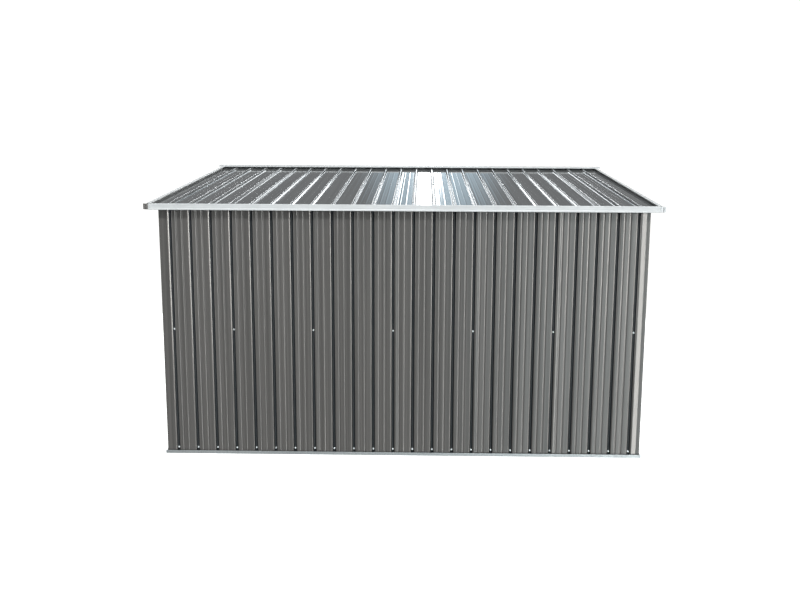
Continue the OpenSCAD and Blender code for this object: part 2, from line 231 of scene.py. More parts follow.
# the four walls: each is drawn left to right as seen from outside, then turned into place
quarterTurns = {0: (1, 0, 0, 1), 1: (0, -1, 1, 0), 2: (-1, 0, 0, -1), 3: (0, 1, -1, 0)}
wallFace = {0: halfY, 1: halfX, 2: halfY, 3: halfX}


def turned(side, x, y, z):
    a, b, c, d = quarterTurns[side]
    return Vector((a * x + b * y, c * x + d * y, z))


unevenness = {
    "wall": 0.0002,  # how far the pans of the walls swell and sink
    "roof": 0.00008,
    "acrossSize": 5.0,
    "alongSize": 0.45,
    "smallShare": 0.05,
    "fine": (3, 5, 7.3),  # how much finer across and along, and the shift of its draw
    "clear": 0.17,  # share of a pitch beside each rib that stays straight
    "blend": 0.2,
    "wallDraw": 11.7,
    "roofDraw": (5.1, 40),
    "doorDraw": 77,
}


def panSwell(u, v, first, seed, amount):
    # the ribs and the laps beside them stay straight, and only the pans between them are uneven
    share = ((u - first) / ribbed["pitch"]) % 1
    free = min(share, 1 - share)
    t = min(1, max(0, (free - unevenness["clear"]) / unevenness["blend"]))
    across, along = unevenness["acrossSize"], unevenness["alongSize"]
    broad = noise.noise(Vector((u * across, v * along, seed)))
    fineAcross, fineAlong, shift = unevenness["fine"]
    fine = noise.noise(Vector((u * across * fineAcross, v * along * fineAlong, seed + shift)))
    return amount * t * t * (3 - 2 * t) * (broad + unevenness["smallShare"] * fine)


# node material helpers
def startFinish(name, base, metallic, rough):
    material = bpy.data.materials.new(name)
    material.use_nodes = True
    nodes = material.node_tree.nodes
    nodes.clear()
    out = nodes.new("ShaderNodeOutputMaterial")
    shader = nodes.new("ShaderNodeBsdfPrincipled")
    shader.inputs["Base Color"].default_value = (*base, 1)
    shader.inputs["Metallic"].default_value = metallic
    shader.inputs["Roughness"].default_value = rough
    material.node_tree.links.new(shader.outputs[0], out.inputs[0])
    material.diffuse_color = (*base, 1)
    return material, shader


def addNode(material, kind, inputs=None, **settings):
    node = material.node_tree.nodes.new(kind)
    for key, value in settings.items():
        setattr(node, key, value)
    for key, value in (inputs or {}).items():
        if isinstance(value, bpy.types.NodeSocket):
            material.node_tree.links.new(value, node.inputs[key])
        else:
            node.inputs[key].default_value = value
    return node


def metres(material, stretch=(1, 1, 1)):
    where = addNode(material, "ShaderNodeTexCoord")
    return addNode(
        material, "ShaderNodeMapping", {"Vector": where.outputs["Object"], "Scale": stretch}
    ).outputs[0]


def grain(material, vector, size, detail=3.0, rough=0.55):
    inputs = {"Vector": vector, "Scale": size, "Detail": detail, "Roughness": rough}
    return addNode(material, "ShaderNodeTexNoise", inputs).outputs["Fac"]


def spread(material, value, fromLow, fromHigh, toLow, toHigh):
    inputs = {
        "Value": value, "From Min": fromLow, "From Max": fromHigh, "To Min": toLow, "To Max": toHigh
    }
    return addNode(material, "ShaderNodeMapRange", inputs).outputs[0]


def blendColours(material, share, one, two):
    node = addNode(material, "ShaderNodeMix", data_type="RGBA")
    links = material.node_tree.links
    for index, value in ((0, share), (6, one), (7, two)):
        if isinstance(value, bpy.types.NodeSocket):
            links.new(value, node.inputs[index])
        elif index:
            node.inputs[index].default_value = (*value, 1)
        else:
            node.inputs[index].default_value = value
    return node.outputs[2]


def addBumps(material, shader, layers):
    # layers of (height, strength, distance in metres), the first one deepest
    normal = None
    for height, strength, distance in layers:
        inputs = {"Height": height, "Strength": strength, "Distance": distance}
        if normal:
            inputs["Normal"] = normal
        normal = addNode(material, "ShaderNodeBump", inputs).outputs[0]
    material.node_tree.links.new(normal, shader.inputs["Normal"])


charcoal = {
    "pale": (0.140, 0.135, 0.129),
    "deep": (0.098, 0.095, 0.091),
    # painted shade: near-black colour for the groove bottoms, and at most how much of it covers the
    # paint
    "grooveShade": (0.008, 0.012, 0.015),
    "grooveShadeShare": 0.93,
    "metallic": 0.45,
    "streaks": (75.0, 2.0, 0.4),  # grain: how fine, how detailed, and how rough its detail is
    "cloud": (9.0, 2.0),
    "speck": (900.0, 2.0),
    "orangePeel": (650.0, 2.0),
}


def charcoalFinish(name, tint, roughRange, along, bump):
    # satin charcoal coating, with painted shade darkening the bottoms of its grooves; along stretches
    # the grain so that its streaks run down the sheet
    material, shader = startFinish(name, charcoal["pale"], charcoal["metallic"], roughRange[0])
    links = material.node_tree.links
    plain = metres(material)
    streaks = grain(material, metres(material, along), *charcoal["streaks"])
    cloud = grain(material, metres(material, along), *charcoal["cloud"])
    speck = grain(material, plain, *charcoal["speck"])
    groove = addNode(
        material, "ShaderNodeAttribute", attribute_type="GEOMETRY", attribute_name="grooveDepth"
    ).outputs["Fac"]
    pale = tuple(a * b for a, b in zip(charcoal["pale"], tint))
    deep = tuple(a * b for a, b in zip(charcoal["deep"], tint))
    colour = blendColours(material, spread(material, streaks, 0.32, 0.7, 0, 1), deep, pale)
    colour = blendColours(material, spread(material, cloud, 0.3, 0.75, 0, 0.35), colour, deep)
    colour = blendColours(material, spread(material, speck, 0.45, 0.7, 0, 0.18), colour, pale)
    # painted shade: the deeper a point lies in its groove, the nearer its colour goes to near-black
    paintedGrooveShade = spread(material, groove, 0.2, 0.55, 0.0, charcoal["grooveShadeShare"])
    colour = blendColours(material, paintedGrooveShade, colour, charcoal["grooveShade"])
    links.new(colour, shader.inputs["Base Color"])
    rough = spread(material, streaks, 0.3, 0.7, *roughRange)
    rough = addNode(
        material, "ShaderNodeMath", {0: rough, 1: spread(material, groove, 0.72, 1.0, 0, 0.3)},
        operation="ADD"
    ).outputs[0]
    links.new(rough, shader.inputs["Roughness"])
    addBumps(material, shader, [
        (streaks, bump, 0.0002),
        (grain(material, plain, *charcoal["orangePeel"]), bump, 0.0001),
    ])
    return material


wallPaint = charcoalFinish("wallPaint", (1, 1, 1), (0.18, 0.24), (1, 1, 0.004), 0.010)
# painted light and sky reflection: the roof uses the walls' charcoal, made paler and bluer by its
# tint
roofPaintSkyLit = charcoalFinish(
    "roofPaintSkyLit", (1.32, 1.42, 1.50), (0.072, 0.080), (1, 0.006, 0.006), 0.002
)

silver = {
    "pale": (0.475, 0.490, 0.495),
    "deep": (0.415, 0.430, 0.435),
    "metallic": 0.1,
    "rough": 0.48,
    "cloud": (6.0, 5.0),
    "marks": (60.0, 3.0),
    "dust": (700.0, 2.0),
    "dents": (9.0, 2.0),
    "orangePeel": (500.0, 2.0),
}


def silverPaint(name):
    # light grey paint of the folded trims, with handling marks and a little dust
    material, shader = startFinish(name, silver["pale"], silver["metallic"], silver["rough"])
    links = material.node_tree.links
    plain = metres(material)
    cloud = grain(material, plain, *silver["cloud"])
    marks = grain(material, metres(material, (0.2, 1, 1)), *silver["marks"])
    dust = grain(material, plain, *silver["dust"])
    colour = blendColours(
        material, spread(material, cloud, 0.35, 0.7, 0, 1), silver["pale"], silver["deep"]
    )
    colour = blendColours(material, spread(material, dust, 0.5, 0.75, 0, 0.2), colour, silver["deep"])
    links.new(colour, shader.inputs["Base Color"])
    links.new(spread(material, marks, 0.3, 0.7, silver["rough"] - 0.06, silver["rough"] + 0.12),
              shader.inputs["Roughness"])
    addBumps(material, shader, [
        (grain(material, plain, *silver["dents"]), 0.12, 0.0015),
        (grain(material, plain, *silver["orangePeel"]), 0.08, 0.0002),
    ])
    return material


zinc = {
    "pale": (0.40, 0.425, 0.43),
    "deep": (0.27, 0.29, 0.30),
    "rough": 0.36,
    "cloud": (5.0, 4.0),
    "pits": (300.0, 3.0),
}


def zincFinish(name, spangleSize, metallic, deepShare, gain=1.0):
    # dip galvanised steel: crystals of slightly different grey, each with its own gloss
    pale, deep = (tuple(c * gain for c in zinc[key]) for key in ("pale", "deep"))
    material, shader = startFinish(name, pale, metallic, zinc["rough"])
    links = material.node_tree.links
    plain = metres(material)
    crystals = addNode(
        material, "ShaderNodeTexVoronoi",
        {"Vector": plain, "Scale": spangleSize, "Randomness": 1.0}, feature="F1"
    )
    tone = addNode(material, "ShaderNodeSeparateColor", {0: crystals.outputs["Color"]}).outputs[0]
    cloud = grain(material, plain, *zinc["cloud"])
    colour = blendColours(material, spread(material, tone, 0, 1, 0, deepShare), pale, deep)
    colour = blendColours(material, spread(material, cloud, 0.4, 0.8, 0, 0.4), colour, deep)
    links.new(colour, shader.inputs["Base Color"])
    links.new(spread(material, tone, 0, 1, zinc["rough"] - 0.08, zinc["rough"] + 0.14),
              shader.inputs["Roughness"])
    addBumps(material, shader, [
        (crystals.outputs["Distance"], 0.10, 0.0004),
        (grain(material, plain, *zinc["pits"]), 0.08, 0.0002),
    ])
    return material


plastics = {
    # the left caps are the same grey plastic as the right ones, painted darker as shade
    "capPaintedShade": {"colour": (0.105, 0.100, 0.095), "rough": 0.5},
    "capLight": {"colour": (0.50, 0.52, 0.53), "rough": 0.45},
    "handleBlack": {"colour": (0.022, 0.023, 0.025), "rough": 0.42},
    # this black is the real rubber of the roof screw seals and also the painted shade of the strips
    # in the caps' slots
    "blackRubberAndSlotShade": {"colour": (0.014, 0.014, 0.015), "rough": 0.75},
}


moulded = {"chalk": (25.0, 5.0), "texture": (1400.0, 2.0)}


def mouldedFinish(name):
    # moulded plastic or rubber, also used for painted shade on the left caps and in the caps' slots:
    # spark-eroded texture and faint chalking from the weather
    look = plastics[name]
    material, shader = startFinish(name, look["colour"], 0.0, look["rough"])
    links = material.node_tree.links
    plain = metres(material)
    chalk = grain(material, plain, *moulded["chalk"])
    paler = tuple(c * 0.8 + 0.06 for c in look["colour"])
    colour = blendColours(
        material, spread(material, chalk, 0.4, 0.8, 0, 0.5), look["colour"], paler
    )
    links.new(colour, shader.inputs["Base Color"])
    links.new(spread(material, chalk, 0.3, 0.7, look["rough"] - 0.08, look["rough"] + 0.1),
              shader.inputs["Roughness"])
    texture = grain(material, plain, *moulded["texture"])
    addBumps(material, shader, [(texture, 0.25, 0.0002)])
    return material


trimPaint = silverPaint("trimPaint")
railZinc = zincFinish("railZinc", 170.0, 0.6, 0.7)
frameZinc = zincFinish("frameZinc", 120.0, 0.85, 0.8)
screwZinc = zincFinish("screwZinc", 900.0, 0.3, 0.3, 2.0)
capPaintedShade, capLight = mouldedFinish("capPaintedShade"), mouldedFinish("capLight")
handleBlack, blackRubberAndSlotShade = mouldedFinish("handleBlack"), mouldedFinish("blackRubberAndSlotShade")
print("finishes made:", len(bpy.data.materials))

# roof lines: the pans of the roof sheets lie on a plane through these two heights
roof = {
    "angle": math.radians(14.2),
    "rakeRise": 0.018,
    "rakeLip": 0.025,
    "lip": 0.016,
    "edgeRoom": 0.2,  # room for the rakes beside the outermost ribs, both sides together
    "ridgeEnd": 0.008,
    "rows": 20,
}
slope, lean, upright = math.tan(roof["angle"]), math.sin(roof["angle"]), math.cos(roof["angle"])
stack = (ribbed["ribDeep"] + ribbed["thick"]) / upright
trimThick = 0.0015
eavePan = eaveTop - trimThick - fit - stack - roof["lip"] * slope
ridgePan = eavePan + eaveY * slope


def roofTop(y):
    return ridgePan - abs(y) * slope


def roofUnder(y):
    return roofTop(y) - (ribbed["thick"] + fit) / upright


wallRows = 18


def grooveShare(p):
    return max(0.0, min(1.0, p.y / ribbed["ribDeep"]))


def wallSheets(name, side, first, lapLists, start, topOf, nodes):
    shape = newShape()
    for laps in lapLists:
        for i in range(start, len(laps) - 1, 2):
            line = wholeSheet(first, ribbed["wallFold"], laps[i], laps[i + 1], -ribbed["thick"])
            front = softBends(line, ribbed["bend"], ribbed["bendSteps"])
            back = moved(front, ribbed["thick"])

            def place(p, t):
                z = wallFoot + (topOf(p.x) - wallFoot) * t
                draw = side * unevenness["wallDraw"]
                swell = panSwell(p.x, z, first, draw, unevenness["wall"])
                return turned(side, p.x, p.y - wallFace[side] + swell, z)

            addStrip(shape, front, back, levels(0, 1, wallRows), place, grooveShare)
    makePiece(name, shape, wallPaint, nodes)


def flatTop(u):
    return wallTop


def gableTop(u):
    return min(roofUnder(u), roofUnder(0))


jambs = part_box("door_jambs")
doorHalf = jambs[1].x - ribbed["ribFoot"] / 2 - fit
doorLap = round((longSpaces - 2 * doorHalf / ribbed["pitch"]) / 2)
doorSide = lapRibs(doorLap)
frontLaps = [doorSide, [longSpaces - i for i in reversed(doorSide)]]
for letter, start in (("a", 0), ("b", 1)):
    upper = letter.upper()
    wallSheets("rearWallSheets" + upper, 0, longFirst, [lapRibs(longSpaces)], start, flatTop,
               ["rear_wall_sheets_" + letter])
    wallSheets("frontWallSheets" + upper, 2, longFirst, frontLaps, start, flatTop,
               ["front_wall_sheets_" + letter])
    wallSheets("rightEndSheets" + upper, 1, endFirst, [lapRibs(endSpaces)], start, gableTop,
               ["right_end_sheets_" + letter])
    wallSheets("leftEndSheets" + upper, 3, endFirst, [lapRibs(endSpaces)], start, gableTop,
               ["left_end_sheets_" + letter])
print("wall sheets made")


cornerDish = {"at": 0.048, "deep": 0.0020}  # the leg beside the last groove is a little hollow


# a corner sheet laps over the last rib of one wall and runs round to the first rib of the next
def cornerSheet(name, side, last, nextFirst, node):
    face, nextFace, thick = wallFace[side], wallFace[(side + 1) % 4], ribbed["thick"]
    near = lapStart(last, ribbed["wallFold"], -thick)[:-2]
    near += [(last + ribbed["lapReach"], -thick), (last + cornerDish["at"], cornerDish["deep"])]
    far = mainRib(nextFirst, ribbed["wallFold"]) + lapEnd(nextFirst)
    front = [(p[0], p[1] - face) for p in near] + [(nextFace, -face)]
    front += [(nextFace - p[1], p[0]) for p in far]
    back = [(p[0], p[1] - face + thick) for p in near] + [(nextFace - thick, thick - face)]
    back += [(nextFace - p[1] - thick, p[0]) for p in far]

    def depthOf(p):
        return max(0.0, min(1.0, min(p.y + face, nextFace - p.x) / ribbed["ribDeep"]))

    def place(p, z):
        return turned(side, p.x, p.y, z)

    shape = newShape()
    soft = [softBends(line, ribbed["bend"], ribbed["bendSteps"]) for line in (front, back)]
    addStrip(shape, soft[0], soft[1], levels(wallFoot, wallTop, wallRows), place, depthOf)
    makePiece(name, shape, wallPaint, [node])


cornerSheet("cornerRearRight", 0, -longFirst, endFirst, "corner_rear_right")
cornerSheet("cornerFrontRight", 1, -endFirst, longFirst, "corner_front_right")
cornerSheet("cornerFrontLeft", 2, -longFirst, endFirst, "corner_front_left")
cornerSheet("cornerRearLeft", 3, -endFirst, longFirst, "corner_rear_left")
print("corner sheets made")

roofEdge = edgeX - trimThick - fit
roofSpaces = math.floor((2 * edgeX - roof["edgeRoom"]) / ribbed["pitch"] + tiny)
roofFirst = -roofSpaces * ribbed["pitch"] / 2
roofEaveEnd = eaveY - trimThick - fit


def onSlope(side, x, high, y):
    # a point of one slope, high above the pan, on the upright plane at y
    along = (y + eaveY + high * lean) / upright
    return turned(side, x, y, eavePan + along * lean + high * upright)


def smallRibsBeside(c):
    # the small ribs past the outermost main ribs, as far as the rakes leave them room
    line = []
    for place in ribbed["smallPlaces"]:
        middle = c + place * ribbed["pitch"]
        if abs(middle) + ribbed["smallWide"] < edgeX - roof["rakeLip"]:
            line += smallRib(middle, ribbed["roofFold"])
    return line


def roofSheetLine(i, laps):
    fold, pitch = ribbed["roofFold"], ribbed["pitch"]
    last = roofSpaces if i == len(laps) else laps[i]
    if i == 0:
        line = [(-roofEdge, 0)] + smallRibsBeside(roofFirst - pitch) + mainRib(roofFirst, fold)
        line += pansBetween(roofFirst, fold, 0, last)
    else:
        line = lapStart(roofFirst + laps[i - 1] * pitch, fold, ribbed["thick"])
        line += pansBetween(roofFirst, fold, laps[i - 1], last)
    if i == len(laps):
        return line + smallRibsBeside(roofFirst + last * pitch) + [(roofEdge, 0)]
    return line + lapEnd(roofFirst + last * pitch)


def roofSheets(name, side, start, node):
    laps = list(range(ribbed["ribsPerSheet"] - 1, roofSpaces - 1, ribbed["ribsPerSheet"]))
    shape = newShape()
    for i in range(start, len(laps) + 1, 2):
        line = roofSheetLine(i, laps)
        front = softBends(line, ribbed["bend"], ribbed["bendSteps"])
        back = moved(front, -ribbed["thick"])

        def place(p, y):
            draw = side * unevenness["roofDraw"][0] + unevenness["roofDraw"][1]
            swell = panSwell(p.x, y, roofFirst, draw, unevenness["roof"])
            return onSlope(side, p.x, p.y + swell, y)

        rows = levels(-roofEaveEnd, -roof["ridgeEnd"], roof["rows"])
        addStrip(shape, front, back, rows, place)
    makePiece(name, shape, roofPaintSkyLit, [node])


roofSheets("roofRearSheetsA", 0, 0, "roof_rear_sheets_a")
roofSheets("roofRearSheetsB", 0, 1, "roof_rear_sheets_b")
roofSheets("roofFrontSheetsA", 2, 0, "roof_front_sheets_a")
roofSheets("roofFrontSheetsB", 2, 1, "roof_front_sheets_b")
print("roof sheets made")

trim = {
    "thick": 0.0008,
    "bend": 0.0022,
    "sharpBend": 0.0014,
    "bendSteps": 4,
    "wave": 0.0005,
    "waveSize": 1.1,
    "waveDraw": 3.1,
    "rows": 60,
}


def foldedTrim(shape, line, thick, rows, place, bend=None):
    front = softBends(line, bend or trim["bend"], trim["bendSteps"])
    addStrip(shape, front, backFace(front, thick), rows, place)


eaveTrim = {"bandHigh": 0.009, "step": 0.0006, "lean": 0.0022, "stepRun": 0.0018}


def fascia(name, side, node):
    # eave channel: a flat band at its foot and head, and a web set back a little between them
    half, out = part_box(node)[1].x, -eaveY
    low, top, step = eaveLow, eaveTop, eaveTrim["step"]
    band, run, lip, foot = eaveTrim["bandHigh"], eaveTrim["stepRun"], roof["lip"], eaveTrim["lean"]
    line = [
        (out + lip, top), (out, top), (out, top - band), (out + step, top - band - run),
        (out + foot, low + band + run), (out, low + band), (out, low), (out + lip, low)
    ]

    def place(p, x):
        sag = trim["wave"] * noise.noise(Vector((x * trim["waveSize"], side, trim["waveDraw"])))
        return turned(side, x, p.x + max(0, sag), p.y)

    shape = newShape()
    rows = levels(-half, half, trim["rows"])
    foldedTrim(shape, line, trim["thick"], rows, place, trim["sharpBend"])
    makePiece(name, shape, trimPaint, [node])


fascia("fasciaRear", 0, "fascia_rear")
fascia("fasciaFront", 2, "fascia_front")

rakeTrim = {"high": 0.041, "hem": 0.005, "rows": 30}


def rake(name, side, hand, node):
    # channel up the edge of a slope, with a short hem turned down inside its top lip
    rise, low = roof["rakeRise"], roof["rakeRise"] - rakeTrim["high"]
    inner = halfX + ribbed["thick"] + 2 * fit
    lipX = edgeX - roof["rakeLip"]
    line = [
        (lipX, rise - rakeTrim["hem"]), (lipX, rise), (edgeX, rise), (edgeX, low), (inner, low)
    ]
    line = [(hand * x, high) for x, high in line]
    thick = -trim["thick"] * hand

    def place(p, y):
        return onSlope(side, p.x, p.y, y)

    shape = newShape()
    rows = levels(-(eaveY - roof["lip"] - fit), -fit / 2, rakeTrim["rows"])
    foldedTrim(shape, line, thick, rows, place)
    makePiece(name, shape, trimPaint, [node])


rake("rakeRearLeft", 0, -1, "rake_rear_left")
rake("rakeRearRight", 0, 1, "rake_rear_right")
rake("rakeFrontLeft", 2, 1, "rake_front_left")
rake("rakeFrontRight", 2, -1, "rake_front_right")


def ridgeCap():
    low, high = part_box("ridge_cap")
    reach = high.y
    top = high.z
    edgeTop = top - reach * slope
    line = [(-reach, low.z), (-reach, edgeTop), (0, top), (reach, edgeTop), (reach, low.z)]

    def place(p, x):
        return Vector((x, p.x, p.y))

    shape = newShape()
    foldedTrim(shape, line, -trim["thick"], levels(low.x, high.x, trim["rows"]), place)
    makePiece("ridgeCap", shape, trimPaint, ["ridge_cap"])


ridgeCap()
print("roof trims made")

baseTrim = {
    "thick": 0.0015,
    "flange": 0.022,
    "upstand": 0.034,
    "standoff": 0.008,
    "ledge": 0.0008,
    "ledgeAt": 0.55,
    "bend": 0.0018,
    "rows": 40,
    "upstandRows": 20,
}


def baseRail(name, side, half, upstands, node):
    low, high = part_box(node)
    face = wallFace[side]
    standoff = baseTrim["standoff"] + baseTrim["thick"]
    out = -face - standoff
    back = -face + ribbed["ribDeep"] + ribbed["thick"] + fit + baseTrim["thick"]
    top, ledge = baseTrim["flange"], baseTrim["ledge"]
    split = top * baseTrim["ledgeAt"]
    line = [
        (out, top), (out, split + ledge), (out + ledge, split), (out + ledge, 0.0), (back, 0.0)
    ]

    def place(p, x):
        return turned(side, x, p.x, p.y)

    shape = newShape()
    rows = levels(-half, half, baseTrim["rows"])
    foldedTrim(shape, line, baseTrim["thick"], rows, place, baseTrim["bend"])
    inner = back - baseTrim["thick"]
    for start, end in upstands:
        plate = [Vector((inner, baseTrim["thick"])), Vector((inner, baseTrim["upstand"]))]
        behind = [p + Vector((baseTrim["thick"], 0)) for p in plate]
        addStrip(shape, plate, behind, levels(start, end, baseTrim["upstandRows"]), place)
    makePiece(name, shape, railZinc, [node])


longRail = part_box("base_rail_rear")[1].x
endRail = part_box("base_rail_left")[1].y
railInset = ribbed["ribDeep"] + ribbed["thick"] + fit + baseTrim["thick"] + fit
longUpstand = halfX - railInset
jambEdge = jambs[1].x + fit
baseRail("baseRailRear", 0, longRail, [(-longUpstand, longUpstand)], "base_rail_rear")
baseRail("baseRailFront", 2, longRail, [(-longUpstand, -jambEdge), (jambEdge, longUpstand)],
         "base_rail_front")
baseRail("baseRailLeft", 3, endRail, [(-endRail, endRail)], "base_rail_left")
baseRail("baseRailRight", 1, endRail, [(-endRail, endRail)], "base_rail_right")
print("base rails made")

cornerCap = {
    "length": 0.05,
    "wall": 0.0025,
    "slot": 0.0035,  # between the rake and the block, filled by a near-black strip of painted shade
    "inset": 0.0015,
    "flutes": 3,
    "fluteShares": ((0.2, 0), (0.35, 1), (0.65, 1), (0.8, 0)),
    "fluteDeep": 0.0010,
    "round": 0.005,
    "edge": 0.0012,
    "tongueBend": 0.0006,
}


def capOutline(inner, outer, front, back):
    # the block of the cap from above, with upright flutes in its front
    loop = [(inner, back), (inner, front)]
    count = cornerCap["flutes"]
    span = (outer - inner - 2 * cornerCap["round"]) / count
    for i in range(count):
        start = inner + cornerCap["round"] + i * span
        for share, deep in cornerCap["fluteShares"]:
            loop.append((start + share * span, front + deep * cornerCap["fluteDeep"]))
    return loop + [(outer, front), (outer, back)]


def closedLoop(shape, loop, heights):
    # walls round a closed outline at each (height, inset), with a lid on the last one
    first, count = len(shape["points"]), len(loop)
    centre = sum(loop, Vector((0, 0))) / count
    for z, inset in heights:
        for p in loop:
            q = p + (centre - p).normalized() * inset
            shape["points"].append(Vector((q.x, q.y, z)))
            shape["depth"].append(0.0)
    joinRings(shape, first, count, len(heights))
    lid = first + (len(heights) - 1) * count
    shape["faces"].append(tuple(range(lid, lid + count)))
    return first


def cornerCaps(name, hand, finish, node):
    low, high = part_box(node)
    innerX, outerX = sorted((abs(low.x), abs(high.x)))
    blockX = edgeX + fit + cornerCap["slot"]
    front, length = -high.y, cornerCap["length"]
    back = front + length
    edge, wall = cornerCap["edge"], cornerCap["wall"]
    shape = newShape()
    outline = softBends(capOutline(blockX, outerX, front, back), cornerCap["round"] * 0.5, 3)
    centre = Vector(((blockX + outerX) / 2, (front + back) / 2))
    shrink = ((outerX - blockX - 2 * wall) / (outerX - blockX), (length - 2 * wall) / length)
    hollow = [
        centre + Vector(((p.x - centre.x) * shrink[0], (p.y - centre.y) * shrink[1]))
        for p in outline
    ]
    outside = closedLoop(shape, outline, [
        (low.z, 0), (high.z - edge, 0), (high.z - edge * 0.3, edge * 0.3), (high.z, edge)
    ])
    inside = closedLoop(shape, hollow, [(low.z, 0), (high.z - wall, 0)])
    count = len(outline)
    for i in range(count):
        j = (i + 1) % count
        shape["faces"].append((outside + i, outside + j, inside + j, inside + i))
    tongueBack = trimThick - eaveY
    tongueX = edgeX + fit
    tongue = softBends([
        (innerX, tongueBack), (innerX, front), (tongueX, front), (tongueX, tongueBack)
    ], cornerCap["tongueBend"], 2)
    foot = closedLoop(shape, tongue, [(low.z, 0), (high.z - edge, 0), (high.z, edge * 0.4)])
    shape["faces"].append(tuple(range(foot, foot + len(tongue))))
    atBothEaves(shape, hand)
    makePiece(name, shape, finish, [node])


def atBothEaves(shape, hand):
    # the same block again at the other end of the rake, and both moved to their side of the roof
    count = len(shape["points"])
    points, faces = list(shape["points"]), list(shape["faces"])
    shape["points"] = [Vector((p.x * hand, p.y, p.z)) for p in points]
    shape["points"] += [Vector((p.x * hand, -p.y, p.z)) for p in points]
    shape["faces"] = faces + [tuple(i + count for i in face) for face in faces]
    shape["depth"] = [0.0] * len(shape["points"])


def slotShadeStrip(name, hand, node):
    # painted shade: a near-black strip that fills the slot between the rake and the cap's block
    low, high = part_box(node)
    inset, left = cornerCap["inset"], edgeX + fit
    right = left + cornerCap["slot"]
    front, back = -high.y + inset, -high.y + cornerCap["length"] - inset
    shape = newShape()
    loop = [Vector(p) for p in ((left, back), (left, front), (right, front), (right, back))]
    foot = closedLoop(shape, loop, [
        (low.z + inset, inset), (low.z + 2 * inset, 0),
        (high.z - 2 * inset, 0), (high.z - inset, inset)
    ])
    shape["faces"].append(tuple(range(foot + len(loop) - 1, foot - 1, -1)))
    atBothEaves(shape, hand)
    makePiece(name, shape, blackRubberAndSlotShade)


# same caps on both sides: the left ones get a darker grey as painted shade
cornerCaps("cornerCapsLeft", -1, capPaintedShade, "corner_caps_left")
cornerCaps("cornerCapsRight", 1, capLight, "corner_caps_right")
# painted shade: near-black strips in the slots beside the caps
slotShadeStrip("slotShadeLeft", -1, "corner_caps_left")
slotShadeStrip("slotShadeRight", 1, "corner_caps_right")
print("corner caps made")

# the doorway side, drawn in the front wall's own turn
leaf = {"border": 0.028, "gap": 0.003, "thick": 0.0015}
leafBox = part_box("door_frame_left")
leafLow, leafHigh = leafBox[0].z, leafBox[1].z
leafOuter = leafBox[1].x
leafFront, leafBack = -leafBox[1].y, -leafBox[0].y
runRows, jambRows = 30, 12


def doorSheets():
    left = leaf["gap"] / 2 + leaf["thick"] + fit
    right = leafOuter - leaf["thick"] - fit
    spaces = math.floor(
        (right - left - ribbed["ribFoot"] - 2 * leaf["border"]) / ribbed["pitch"] + tiny
    )
    first = (left + right - spaces * ribbed["pitch"]) / 2
    fold = ribbed["wallFold"]
    line = [(left, 0)] + mainRib(first, fold) + pansBetween(first, fold, 0, spaces) + [(right, 0)]
    front = softBends(line, ribbed["bend"], ribbed["bendSteps"])
    shape = newShape()
    for hand in (1, -1):

        def place(p, z):
            swell = panSwell(p.x, z, first, unevenness["doorDraw"] + hand, unevenness["wall"])
            face = leafFront + leaf["thick"] + fit
            return turned(2, hand * p.x, face + p.y + swell, z)

        rows = levels(leafLow + leaf["thick"] + fit, leafHigh - leaf["thick"] - fit, wallRows)
        addStrip(shape, front, moved(front, ribbed["thick"]), rows, place, grooveShare)
    makePiece("doorSheets", shape, wallPaint, ["door_sheets"])


def leafFrame(name, hand, node):
    # folded border swept round the leaf, mitred at the corners
    depth = leafBack - leafFront
    section = [(0.0, depth), (0.0, 0.0), (leaf["border"], 0.0)]
    corners = [
        (leaf["gap"] / 2, leafLow, 1, 1), (leafOuter, leafLow, -1, 1),
        (leafOuter, leafHigh, -1, -1), (leaf["gap"] / 2, leafHigh, 1, -1)
    ]

    def place(p, corner):
        x, z, inX, inZ = corner
        return turned(2, hand * (x + inX * p.x), leafFront + p.y, z + inZ * p.x)

    shape = newShape()
    front = softBends(section, trim["bend"], trim["bendSteps"])
    addStrip(shape, front, backFace(front, leaf["thick"]), corners, place, closed=True)
    makePiece(name, shape, trimPaint, [node])


doorSheets()
leafFrame("doorFrameLeft", -1, "door_frame_left")
leafFrame("doorFrameRight", 1, "door_frame_right")


def runOnX(name, line, half, node):
    def place(p, x):
        return turned(2, x, p.x, p.y)

    shape = newShape()
    foldedTrim(shape, line, leaf["thick"], levels(-half, half, runRows), place)
    makePiece(name, shape, trimPaint, [node])


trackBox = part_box("door_track")
trackFront, trackBack = -trackBox[1].y, -trackBox[0].y
runOnX("doorTrack", [
    (trackBack, trackBox[0].z), (trackBack, trackBox[1].z), (trackFront, trackBox[1].z),
    (trackFront, trackBox[0].z)
], trackBox[1].x, "door_track")
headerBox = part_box("door_header")
headerFront, headerBack = -headerBox[1].y, -headerBox[0].y
runOnX("doorHeader", [
    (headerFront, headerBox[1].z), (headerFront, headerBox[0].z), (headerBack, headerBox[0].z)
], headerBox[1].x, "door_header")


def doorJambs():
    low, high = jambs
    inner = headerBox[1].x + fit
    front, back, outer = -high.y, -low.y, high.x
    line = [(outer, front), (inner, front), (inner, back), (outer, back)]
    shape = newShape()
    for hand in (1, -1):

        def place(p, z):
            return turned(2, hand * p.x, p.y, z)

        foldedTrim(shape, line, leaf["thick"], levels(low.z, high.z, jambRows), place)
    makePiece("doorJambs", shape, trimPaint, ["door_jambs"])


doorJambs()

handle = {"wide": 0.008, "thick": 0.004, "round": 0.006, "edge": 0.0004}


